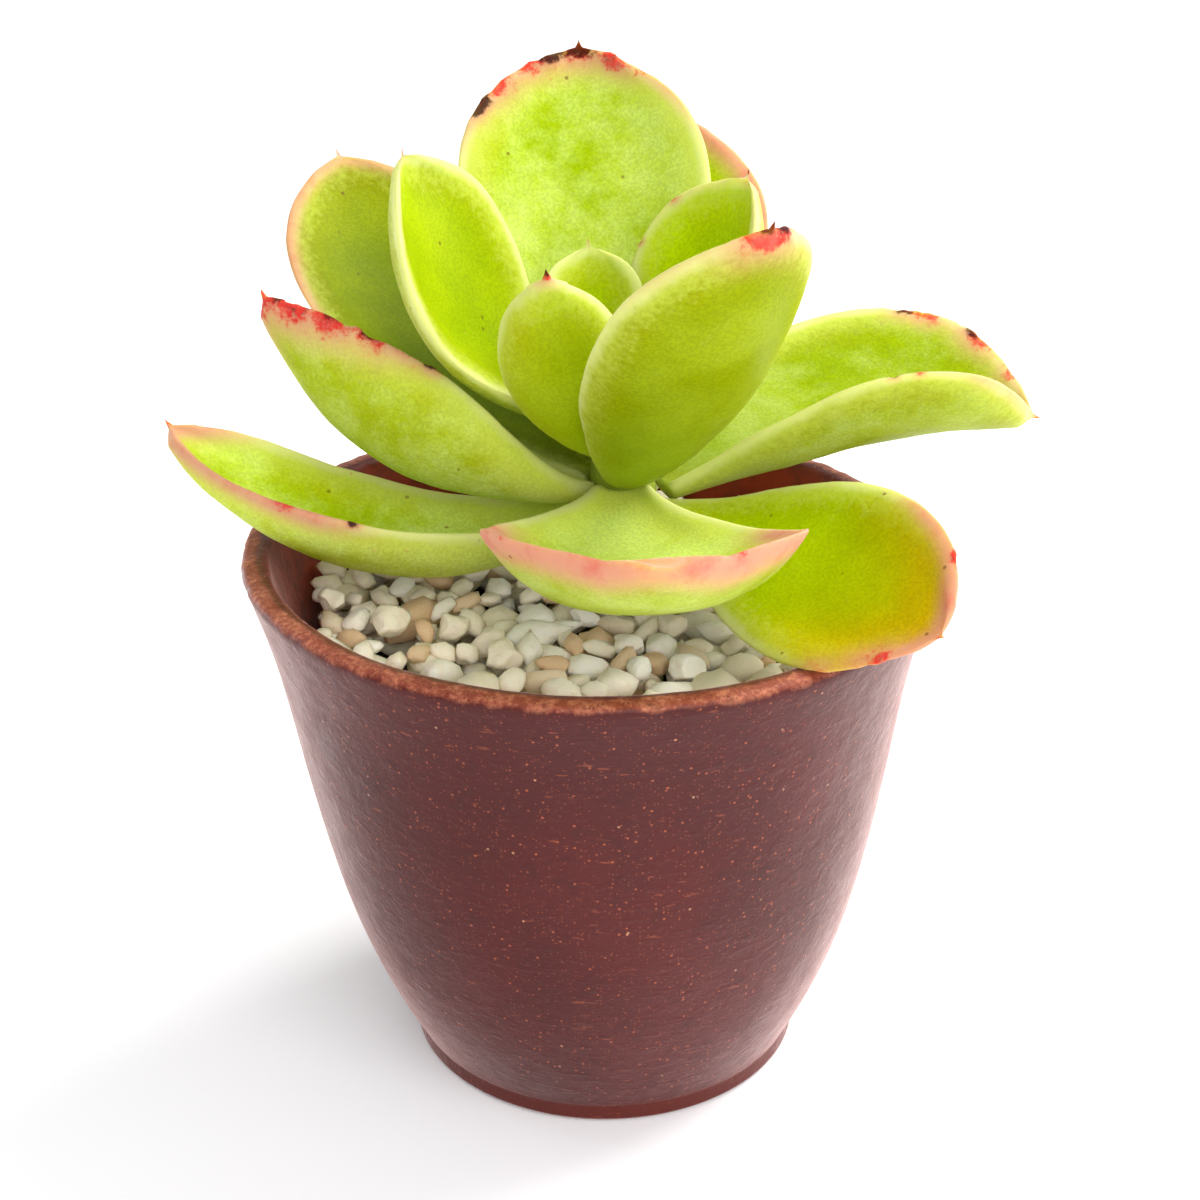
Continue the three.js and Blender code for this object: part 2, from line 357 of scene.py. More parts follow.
pot = {
    "around": 240,  # how many faces round the wall
    "wallStep": 0.9 * mm,  # height of a row of faces on the wall
    "lipStep": 0.22 * mm,
    "fineReach": 4 * mm,  # how far the small rows go on from the lip, and up from the foot
    "lipWear": 0.17 * mm,
    "lipReach": 4.2 * mm,  # how far the worn lip fades down the wall
    "insideStart": 1.2 * mm,  # bare inner wall, measured over the lip
    "insideFade": 1.5 * mm,
    "wallWave": 0.22 * mm,
    "footBand": 3.0 * mm,
    "footFade": 0.6 * mm,
    "drainFaces": 24,
    "clay": (66, 12, 10),
    "clayRed": (75, 11, 8),
    "clayDark": (50, 14, 12),
    "lip": (130, 60, 42),
    "lipPale": (192, 120, 88),
    "inside": (136, 44, 14),
    "insideDark": (98, 38, 18),
    "footPaint": (96, 38, 28),
    "speck": (166, 84, 54),
    "speckPale": (196, 150, 118),
}
underside = 0.1 * mm  # corners of the pot lower than this are on its underside


def potProfile():
    # the turned outline, read where the wall crosses the plane through the pot's leaning axis
    places, neighbours = mergedCopy("pot")
    low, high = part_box("pot")
    shift = (low.x + high.x) / 2
    rim = places[places[:, 2] > 0.8 * high.z]
    left = rim[rim[:, 0] < low.x * 0.9][:, 2].max()
    right = rim[rim[:, 0] > high.x * 0.9][:, 2].max()
    tilt = (right - left) / (high.x - low.x)
    height = left + tilt * (0 - low.x)
    planeGap, axisGap = 0.06 * mm, 2 * mm
    onPlane = {
        i for i, p in enumerate(places)
        if p[1] > axisGap and abs(p[0] - shift * p[2] / height) < planeGap
    }
    start = max((i for i in onPlane if places[i][2] < underside), key=lambda i: places[i][1])
    walk = [start]
    while True:
        ahead = [n for n in neighbours[walk[-1]] if n in onPlane and n not in walk]
        if len(walk) == 1:
            ahead = [n for n in ahead if places[n][2] > underside]
        if not ahead:
            break
        walk.append(min(ahead, key=lambda n: np.linalg.norm(places[n] - places[walk[-1]])))
    return places[walk][:, 1], places[walk][:, 2], shift, tilt, height


def drainPlaces():
    # middle and size of each hole through the floor, from the ring of corners that it leaves underneath
    places, _ = mergedCopy("pot")
    beneath = places[places[:, 2] < underside]
    footRadius = beneath[:, 1].max()
    away = np.hypot(beneath[:, 0], beneath[:, 1])
    ring = beneath[(away < 0.85 * footRadius) & (away > 1 * mm)]
    holes = []
    for signX in (1, -1):
        for signY in (1, -1):
            mine = ring[(ring[:, 0] * signX > 0) & (ring[:, 1] * signY > 0)]
            if len(mine) > 3:
                middle = mine.mean(0)
                holes.append((middle[0], middle[1], np.linalg.norm(mine - middle, axis=1).mean()))
    return holes


def potMaterial():
    material, tree, shader = newMaterial("pressedFibre")
    place = objectPlace(tree)
    c = paints(pot)
    broad = cloud(tree, place, 22 * mm, 3)
    mottled = cloud(tree, place, 3.2 * mm, 5, 0.65)
    fine = cloud(tree, place, 0.7 * mm, 4, 0.7)
    colour = blend(tree, ramp(tree, broad, 0.35, 0.65), c["clay"], c["clayRed"])
    colour = blend(tree, ramp(tree, mottled, 0.5, 0.8, 0.0, 0.7), colour, c["clayDark"])
    colour = blend(tree, ramp(tree, fine, 0.56, 0.78, 0.0, 0.28), colour, c["lip"])
    dustAway, dustPicks = cells(tree, place, 0.42 * mm)
    dustNear = ramp(tree, dustAway, 0.15, 0.35, 1.0, 0.0)
    dusted = times(tree, dustNear, ramp(tree, dustPicks[0], 0.6, 0.75, 0.0, 0.3))
    colour = blend(tree, dusted, colour, c["speck"])
    # specks of husk: small round ones, paler rare ones, and short fibres lying at a slant
    speckAway, speckPicks = cells(tree, place, 0.8 * mm)
    near = ramp(tree, speckAway, 0.1, 0.26, 1.0, 0.0)
    gathered = plus(tree, speckPicks[0], sway(tree, mottled, 1.0))
    speck = times(tree, near, ramp(tree, gathered, 0.68, 0.8))
    colour = blend(tree, times(tree, speck, 0.75), colour, c["speck"])
    paleSpeck = times(tree, near, ramp(tree, speckPicks[1], 0.975, 0.99))
    colour = blend(tree, times(tree, paleSpeck, 0.6), colour, c["speckPale"])
    fibres = cloud(tree, place, 0.8 * mm, 2, 0.5, ((0.3, 0.8, 0.5), (0.3, 0.6, 1.4)))
    colour = blend(tree, ramp(tree, fibres, 0.67, 0.74, 0.0, 0.3), colour, c["speck"])
    # the worn lip is paler, flecked and pitted
    lipMask = ramp(tree, plus(tree, field(tree, "lip"), times(tree, mottled, 0.5)), 0.9, 1.12)
    lipFleck = plus(tree, times(tree, fine, 0.5), times(tree, mottled, 0.5))
    lipColour = blend(tree, ramp(tree, lipFleck, 0.44, 0.66), c["lip"], c["lipPale"])
    lipColour = blend(tree, ramp(tree, mottled, 0.55, 0.7, 0.0, 0.6), lipColour, c["clay"])
    pitted = times(tree, dustNear, ramp(tree, dustPicks[0], 0.3, 0.4, 0.7, 0.0))
    lipColour = blend(tree, pitted, lipColour, c["clayDark"])
    # the bare inner wall lies under the lip, and the foot band over both
    inner = blend(tree, ramp(tree, mottled, 0.4, 0.7), c["inside"], c["insideDark"])
    colour = blend(tree, field(tree, "inside"), colour, inner)
    colour = blend(tree, lipMask, colour, lipColour)
    colour = blend(tree, times(tree, field(tree, "foot"), 0.55), colour, c["footPaint"])
    tree.links.new(colour, shader.inputs["Base Color"])
    bare = maths(tree, "MAXIMUM", lipMask, field(tree, "inside"))
    gloss = plus(tree, ramp(tree, mottled, 0.3, 0.7, 0.27, 0.42), times(tree, bare, 0.25))
    tree.links.new(gloss, shader.inputs["Roughness"])
    setSockets(shader, {
        "Specular IOR Level": 0.24,
        "Sheen Weight": 0.5,
        "Sheen Tint": (1.0, 0.62, 0.58, 1.0),
        "Sheen Roughness": 0.3,
    })
    scratches = cloud(tree, place, 1.4 * mm, 2, 0.5, ((0.4, 0.9, 0.3), (0.3, 0.8, 1.3)))
    relief(tree, shader, [
        (mottled, 0.25 * mm, 0.5),
        (ramp(tree, scratches, 0.5, 0.75), 0.10 * mm, 0.25),
        (fine, 0.10 * mm, 0.4),
    ])
    return material


def potRows(outline):
    # the outline in small steps, its curves rounded, and how much of each row is lip, inner wall and foot
    lengths = np.concatenate([[0], np.cumsum(np.linalg.norm(np.diff(outline, axis=0), axis=1))])
    heights = outline[:, 1]
    topLength = lengths[int(np.argmax(heights))]
    samples = []
    for i in range(len(outline) - 1):
        small = abs(lengths[i] - topLength) < pot["fineReach"] or lengths[i] < pot["fineReach"]
        step = pot["lipStep"] if small else pot["wallStep"]
        parts = max(1, round((lengths[i + 1] - lengths[i]) / step))
        samples += [lengths[i] + (lengths[i + 1] - lengths[i]) * k / parts for k in range(parts)]
    samples = np.array(samples + [lengths[-1]])
    rows = np.empty((len(samples), 2))
    gaps = np.diff(lengths)
    # long spans of wall and short ones of the lip are curved apart, so that neither bends the other
    breaks = [i for i in range(1, len(gaps)) if not 0.25 < gaps[i] / gaps[i - 1] < 4]
    ends = [0] + breaks + [len(gaps)]
    for a, b in zip(ends[:-1], ends[1:]):
        here = (samples >= lengths[a]) & (samples <= lengths[b])
        rows[here] = openCurve(outline[a:b + 1], lengths[a:b + 1], samples[here])
    foot = lengths[:-1][heights[:-1] < pot["footBand"]].max()
    straight = np.stack([np.interp(samples, lengths, outline[:, k]) for k in (0, 1)], axis=1)
    rows = np.where((samples < foot)[:, None], straight, rows)  # the foot keeps its corners
    inside = np.clip((samples - topLength - pot["insideStart"]) / pot["insideFade"], 0, 1)
    lip = np.clip(1 - np.abs(samples - topLength) / pot["lipReach"], 0, 1)
    footMark = np.clip((pot["footBand"] - rows[:, 1]) / pot["footFade"], 0, 1) * (samples < topLength)
    return rows, lip, inside, footMark


def drillDrains(body, depth):
    cutters = bmesh.new()
    for x, y, radius in drainPlaces():
        made = bmesh.ops.create_cone(cutters, cap_ends=True, segments=pot["drainFaces"], radius1=radius,
                                     radius2=radius, depth=depth)
        bmesh.ops.translate(cutters, verts=made["verts"], vec=(x, y, 0.0))
    cutterMesh = bpy.data.meshes.new("drainCutters")
    cutters.to_mesh(cutterMesh)
    cutters.free()
    cutter = addObject("drainCutters", cutterMesh)
    drill = body.modifiers.new("drainHoles", "BOOLEAN")
    drill.operation, drill.solver, drill.object = "DIFFERENCE", "EXACT", cutter
    body.data = plainMesh(body)
    bpy.data.objects.remove(cutter)


def buildPot():
    radii, heights, shift, tilt, height = potProfile()
    around = pot["around"]
    angles = np.arange(around) * 2 * math.pi / around

    def roundNoise(reach, z, rise, offset=0.0):
        # noise read on a ring of this radius
        return np.array([
            noise.noise(Vector((math.cos(a) * reach, math.sin(a) * reach, z / rise + offset)))
            for a in angles
        ])

    rows, marks = [], {"lip": [], "inside": [], "foot": []}
    for (radius, z), lipHere, insideHere, footHere in zip(*potRows(np.stack([radii, heights], axis=1))):
        level = z / height
        # the hand-pressed wall isn't quite round, and the lip is rubbed into small lumps
        wobble = roundNoise(2.2, z, 16 * mm)
        wear = roundNoise(16, z, 2.5 * mm) + 0.5 * roundNoise(40, z, 1 * mm, 7) if lipHere > 0 else 0.0
        outward = 1 if insideHere < 0.5 else -1
        reach = radius + pot["wallWave"] * wobble * min(1, level * 4)
        reach = reach + pot["lipWear"] * lipHere * wear * outward
        x = reach * np.cos(angles) + shift * level
        y = reach * np.sin(angles)
        up = z + tilt * level * x + pot["lipWear"] * 0.8 * wear * max(0, lipHere - 0.6) * 2
        rows.append(np.stack([x, y, up * np.ones(around)], axis=1))
        for label, value in (("lip", lipHere), ("inside", insideHere), ("foot", footHere)):
            marks[label].append(np.full(around, value))
    floorTop = rows[-1][:, 2].mean()
    floorHeight = heights[-1]
    places = np.concatenate(rows + [[[0.0, 0.0, 0.0]], [[shift * floorHeight / height, 0.0, floorTop]]])
    faces = gridFaces(len(rows), around, len(places) - 2, len(places) - 1)
    attributes = {}
    for label, values in marks.items():
        floorMark = 1.0 if label == "inside" else 0.0
        attributes[label] = np.concatenate(values + [[0.0], [floorMark]])
    body = newPiece("potWall", places, faces, potMaterial(), attributes)
    drillDrains(body, floorHeight * 3)
    finishPiece(body, ["pot"])
    print("pot ready:", len(body.data.polygons), "faces")


soil = {
    "crumb": 2.0 * mm,
    "dark": (38, 27, 20),
    "brown": (84, 62, 44),
}


def buildSoil():
    material, tree, shader = newMaterial("pottingSoil")
    c = paints(soil)
    crumbs = cloud(tree, objectPlace(tree), soil["crumb"], 6, 0.7)
    colour = blend(tree, ramp(tree, crumbs, 0.35, 0.7), c["dark"], c["brown"])
    tree.links.new(colour, shader.inputs["Base Color"])
    shader.inputs["Roughness"].default_value = 0.95
    relief(tree, shader, [(crumbs, 1.2 * mm, 0.9)])
    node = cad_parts["soil"]
    if len(node.data.materials):
        node.material_slots[0].link = "OBJECT"
        node.material_slots[0].material = material
    else:
        node.data.materials.append(material)
    print("soil ready")


gravel = {
    "stones": 780,
    "smallest": 1.35 * mm,  # radius
    "largest": 3.2 * mm,
    "smallShare": 1.6,  # over 1 makes small stones the commoner
    "tries": 26,  # places tried for each stone; it takes the lowest
    "sink": 4.2 * mm,  # how deep under the top of the bed the lowest stones lie
    "rise": 2.2 * mm,  # how far over the bed the highest middle may be
    "rimGap": 0.4 * mm,
    "stemGap": 0.8,  # radii kept clear of the stem
    "packing": 0.86,  # under 1 lets neighbours settle into each other
    "flatness": 0.74,
    "lumps": 0.42,
    "facets": 7,  # worn flats on each stone
    "kinds": 7,
    "seed": 5,
    "pale": (255, 250, 236),
    "cream": (254, 242, 218),
    "tan": (226, 192, 150),
    "grey": (242, 232, 206),
    "stain": (226, 206, 172),
    "pit": (186, 164, 130),
}


def stoneMaterial():
    material, tree, shader = newMaterial("paleStone")
    place = objectPlace(tree)
    c = paints(gravel)
    tint = field(tree, "stoneTint")
    colour = blend(tree, ramp(tree, tint, 0.05, 0.5), c["pale"], c["cream"])
    colour = blend(tree, ramp(tree, tint, 0.55, 0.75), colour, c["grey"])
    colour = blend(tree, ramp(tree, tint, 0.86, 0.97), colour, c["tan"])
    stain = cloud(tree, place, 2.4 * mm, 4, 0.6)
    colour = blend(tree, ramp(tree, stain, 0.5, 0.72, 0.0, 0.3), colour, c["stain"])
    pits = cloud(tree, place, 0.55 * mm, 3, 0.7)
    colour = blend(tree, ramp(tree, pits, 0.62, 0.75, 0.0, 0.35), colour, c["pit"])
    tree.links.new(colour, shader.inputs["Base Color"])
    setSockets(shader, {"Roughness": 0.72, "Subsurface Weight": 0.1, "Subsurface Scale": 0.0015})
    relief(tree, shader, [(stain, 0.5 * mm, 0.4), (pits, 0.16 * mm, 0.6)])
    return material


def stoneSeats():
    # stones are let down one by one: each takes the lowest of several places over those already there
    rng = np.random.default_rng(gravel["seed"])
    bedLow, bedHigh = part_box("gravel_bed")
    stemLow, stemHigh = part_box("stem")
    middle = (bedLow + bedHigh) / 2
    trunk = (stemLow + stemHigh) / 2
    trunkRadius = (stemHigh.x - stemLow.x) / 2
    reach = (bedHigh.x - bedLow.x) / 2 - gravel["rimGap"]
    bedTop = middle.z + (bedHigh.z - bedLow.z) / 2
    seats = []
    for name in namesOf("pebble"):
        low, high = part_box(name)
        centre = (low + high) / 2
        seats.append((centre.x, centre.y, centre.z, (high.x - low.x + high.y - low.y) / 4))
    fixed = len(seats)
    for _ in range(gravel["stones"]):
        share = rng.random() ** gravel["smallShare"]
        radius = gravel["smallest"] + (gravel["largest"] - gravel["smallest"]) * share
        best = None
        known = np.array(seats)
        for _ in range(gravel["tries"]):
            away = (reach - radius) * math.sqrt(rng.random())
            angle = rng.random() * 2 * math.pi
            x, y = middle.x + away * math.cos(angle), middle.y + away * math.sin(angle)
            if math.hypot(x - trunk.x, y - trunk.y) < trunkRadius + radius * gravel["stemGap"]:
                continue
            flat = np.hypot(known[:, 0] - x, known[:, 1] - y)
            touch = gravel["packing"] * (known[:, 3] + radius)
            near = flat < touch
            z = bedTop - gravel["sink"]
            if near[:fixed].any():  # never on top of the large loose stones
                continue
            if near.any():
                over = np.sqrt(touch[near] ** 2 - flat[near] ** 2) * gravel["flatness"]
                z = max(z, (known[near, 2] + over).max())
            if best is None or z < best[2]:
                best = (x, y, z, radius)
        if best is not None and best[2] < bedTop + gravel["rise"] - 0.5 * best[3]:
            seats.append(best)
    return np.array(seats[fixed:])


def stoneKind(tree, entry, spot, k):
    # one kind of stone: a ball made lumpy, with worn flats, and stretched a little more than the last
    ball = addNode(tree, "GeometryNodeMeshIcoSphere", None, {"Radius": 1.0, "Subdivisions": 2}).outputs[0]
    elsewhere = (7.3 * k, 3.1 * k, 1.7)  # each kind has noise of its own
    moved = vectorMaths(tree, "ADD", {0: spot, 1: elsewhere})[0]
    noiseInputs = {"Vector": moved, "Scale": 1.1, "Detail": 1.0}
    lump = addNode(tree, "ShaderNodeTexNoise", None, noiseInputs).outputs[0]
    swell = times(tree, sway(tree, lump, entry.outputs["Lump Depth"]), 3.0)
    shaped = pressed(tree, ball, spot, swell)
    for f in range(gravel["facets"]):
        # a worn flat: whatever stands over it is pressed back to it
        axis = flatAxis(k, f)
        over = vectorMaths(tree, "DOT_PRODUCT", {0: spot, 1: axis})["Value"]
        over = maths(tree, "SUBTRACT", over, 0.66 + 0.04 * f)
        shaped = pressed(tree, shaped, tuple(-axis), maths(tree, "MAXIMUM", over, 0.0))
    wide, deep, flatness = 1.12 + 0.07 * k, 1.0 - 0.03 * k, entry.outputs["Stone Flatness"]
    stretch = addNode(tree, "ShaderNodeCombineXYZ", None, {0: wide, 1: deep, 2: flatness}).outputs[0]
    return addNode(tree, "GeometryNodeTransform", None, {"Geometry": shaped, "Scale": stretch}).outputs[0]


def pressed(tree, geometry, direction, distance):
    # the geometry with each corner moved along a direction
    offset = vectorMaths(tree, "SCALE", {0: direction, "Scale": distance})[0]
    inputs = {"Geometry": geometry, "Offset": offset}
    return addNode(tree, "GeometryNodeSetPosition", None, inputs).outputs[0]


def vectorMaths(tree, operation, inputs):
    return addNode(tree, "ShaderNodeVectorMath", {"operation": operation}, inputs).outputs


def randomValue(tree, kind, inputs):
    return addNode(tree, "FunctionNodeRandomValue", {"data_type": kind}, inputs).outputs


def gravelTree(material):
    tree = bpy.data.node_groups.new("gravelStones", "GeometryNodeTree")
    face = tree.interface
    face.new_socket("Geometry", in_out="INPUT", socket_type="NodeSocketGeometry")
    face.new_socket("Stone Flatness", in_out="INPUT", socket_type="NodeSocketFloat")
    face.new_socket("Lump Depth", in_out="INPUT", socket_type="NodeSocketFloat")
    face.new_socket("Seed", in_out="INPUT", socket_type="NodeSocketInt")
    face.new_socket("Geometry", in_out="OUTPUT", socket_type="NodeSocketGeometry")
    entry = tree.nodes.new("NodeGroupInput")
    leave = tree.nodes.new("NodeGroupOutput")
    kinds = tree.nodes.new("GeometryNodeGeometryToInstance")
    spot = tree.nodes.new("GeometryNodeInputPosition").outputs[0]
    for k in range(gravel["kinds"]):
        tree.links.new(stoneKind(tree, entry, spot, k), kinds.inputs[0])
    size = addNode(tree, "GeometryNodeInputNamedAttribute", {"data_type": "FLOAT"}, {"Name": "stoneSize"})
    seed = entry.outputs["Seed"]
    leastTurn, mostTurn = (-0.5, -0.5, 0.0), (0.5, 0.5, 6.28)  # leaning a little, facing any way
    turn = randomValue(tree, "FLOAT_VECTOR", {"Min": leastTurn, "Max": mostTurn, "Seed": seed})[0]
    pick = randomValue(tree, "INT", {4: 0, 5: gravel["kinds"] - 1, "Seed": seed})[2]
    points = addNode(tree, "GeometryNodeMeshToPoints", None, {"Mesh": entry.outputs[0]}).outputs[0]
    laid = addNode(tree, "GeometryNodeInstanceOnPoints", None, {
        "Points": points, "Instance": kinds.outputs[0], "Pick Instance": True,
        "Instance Index": pick, "Rotation": turn, "Scale": size.outputs[0],
    }).outputs[0]
    tint = randomValue(tree, "FLOAT", {2: 0.0, 3: 1.0, "Seed": 3})[1]
    eachStone = {"data_type": "FLOAT", "domain": "INSTANCE"}
    tinted = addNode(tree, "GeometryNodeStoreNamedAttribute", eachStone,
                     {"Geometry": laid, "Name": "stoneTint", "Value": tint}).outputs[0]
    real = addNode(tree, "GeometryNodeRealizeInstances", None, {0: tinted}).outputs[0]
    smooth = addNode(tree, "GeometryNodeSetShadeSmooth", None, {"Geometry": real}).outputs[0]
    done = addNode(tree, "GeometryNodeSetMaterial", None, {"Geometry": smooth, "Material": material})
    tree.links.new(done.outputs[0], leave.inputs[0])
    return tree


def buildGravel():
    material = stoneMaterial()
    seats = stoneSeats()
    mesh = bpy.data.meshes.new("gravelSeats")
    mesh.from_pydata([tuple(p) for p in seats[:, :3]], [], [])
    markVertices(mesh, "stoneSize", seats[:, 3])
    bed = addObject("gravelBed", mesh)
    tree = gravelTree(material)
    laying = bed.modifiers.new("gravelStones", "NODES")
    laying.node_group = tree
    wanted = {"Stone Flatness": gravel["flatness"], "Lump Depth": gravel["lumps"], "Seed": gravel["seed"]}
    for socket in tree.interface.items_tree:
        if socket.item_type == "SOCKET" and socket.in_out == "INPUT" and socket.name in wanted:
            laying[socket.identifier] = wanted[socket.name]
    bed.data = plainMesh(bed)
    finishPiece(bed, ["gravel_bed"])
    for i, name in enumerate(namesOf("pebble")):
        buildPebble(name, i, material)
    print("gravel ready:", len(seats), "stones and the loose pebbles")


def buildPebble(name, index, material):
    shape = bmesh.new()
    shape.from_mesh(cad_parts[name].data)
    bmesh.ops.remove_doubles(shape, verts=shape.verts, dist=mergeDistance)
    mesh = bpy.data.meshes.new(name)
    shape.to_mesh(mesh)
    shape.free()
    pebble = addObject(name.replace("pebble_", "looseStone"), mesh)
    finer = pebble.modifiers.new("finer", "SUBSURF")
    finer.levels = finer.render_levels = 2
    fine = plainMesh(pebble)
    fine.materials.clear()
    fine.materials.append(material)
    markVertices(fine, "stoneTint", np.full(len(fine.vertices), (index * 0.618) % 1))
    fine.shade_smooth()
    pebble.data = fine
    low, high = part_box(name)
    middle = (low + high) / 2
    reach = (high.x - low.x + high.y - low.y) / 4
    for f in range(gravel["facets"]):
        axis = flatAxis(index, f)
        for vertex in fine.vertices:
            over = (vertex.co - middle).dot(axis) - reach * (0.56 + 0.04 * f)
            if over > 0:
                vertex.co -= axis * over * 0.85
    ruffle(pebble, [(0.35 * mm, 1.7 * mm), (0.10 * mm, 0.6 * mm)])
    finishPiece(pebble, [name])


stem = {
    "around": 64,
    "rows": 90,
    "scarEvery": 2.6 * mm,
    "scarDepth": 0.22 * mm,
    "youngFrom": 0.35,  # of its height, where the bark starts to give way to green
    "youngWhole": 0.7,
    "bark": (150, 138, 84),
    "scar": (120, 92, 56),
    "young": (142, 164, 20),
}


def stemMaterial(foot, length):
    material, tree, shader = newMaterial("stemSkin")
    place = objectPlace(tree)
    c = paints(stem)
    streaks = cloud(tree, place, 1.2 * mm, 4, 0.6, ((0.0, 0.0, 0.0), (1.0, 1.0, 0.4)))
    colour = blend(tree, ramp(tree, streaks, 0.4, 0.7), c["bark"], c["scar"])
    height = addNode(tree, "ShaderNodeSeparateXYZ", None, {0: place}).outputs[2]
    young = ramp(tree, height, foot + stem["youngFrom"] * length, foot + stem["youngWhole"] * length)
    colour = blend(tree, young, colour, c["young"])
    tree.links.new(colour, shader.inputs["Base Color"])
    shader.inputs["Roughness"].default_value = 0.7
    relief(tree, shader, [(streaks, 0.3 * mm, 0.6)])
    return material


def buildStem():
    corners, _ = mergedCopy("stem")
    low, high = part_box("stem")
    axis = (low + high) / 2
    radiusAt = sorted((p[2], math.hypot(p[0] - axis.x, p[1] - axis.y)) for p in corners)
    heights = sorted({round(z, 6) for z, _ in radiusAt})
    outer = [max(r for z, r in radiusAt if abs(z - h) < 1e-5) for h in heights]
    rows, around = stem["rows"], stem["around"]
    levels = low.z + (high.z - low.z) * np.linspace(0.002, 0.998, rows)
    radii = np.interp(levels, heights, outer)
    angles = np.arange(around) * 2 * math.pi / around
    grid = []
    for z, radius in zip(levels, radii):
        scars = np.cos((z / stem["scarEvery"] + angles / math.pi) * 2 * math.pi)
        reach = radius - stem["scarDepth"] * np.clip(scars, 0, 1) ** 4
        x, y = axis.x + reach * np.cos(angles), axis.y + reach * np.sin(angles)
        grid.append(np.stack([x, y, np.full(around, z)], axis=1))
    places = np.concatenate(grid + [[[axis.x, axis.y, low.z]], [[axis.x, axis.y, high.z]]])
    faces = gridFaces(rows, around, len(places) - 2, len(places) - 1)
    piece = newPiece("stemTrunk", places, faces, stemMaterial(low.z, high.z - low.z))
    finishPiece(piece, ["stem"])
    print("stem ready")


leafShape = {
    "ringPoints": 12,
    "across": [1, 0.9, 0.5, 0, -0.5, -0.9, -1, -0.8, -0.42, 0, 0.42, 0.8],
    "divisions": [3, 5, 6, 6, 5, 3, 4, 5, 6, 6, 5, 4],  # of each span round a section
    "rows": 74,
    "tipRows": 16,
    "point": 1.1 * mm,  # the small sharp point stands this far out of the round end
    "pointRadius": 1.15 * mm,
    "pointLength": 2.4 * mm,
    "pointTaper": 1.3,
    "hook": 0.25 * mm,
    "pinkFade": 0.18,  # of the leaf's length, over which the pink of a margin comes in
    "swell": 0.30 * mm,  # soft unevenness of the fleshy blade
    "swellSize": 9 * mm,
    "ripple": 0.05 * mm,
    "rippleSize": 2.2 * mm,
    "scab": 0.45 * mm,  # lumps where the margin is marked
    "scabSize": 1.4 * mm,
}

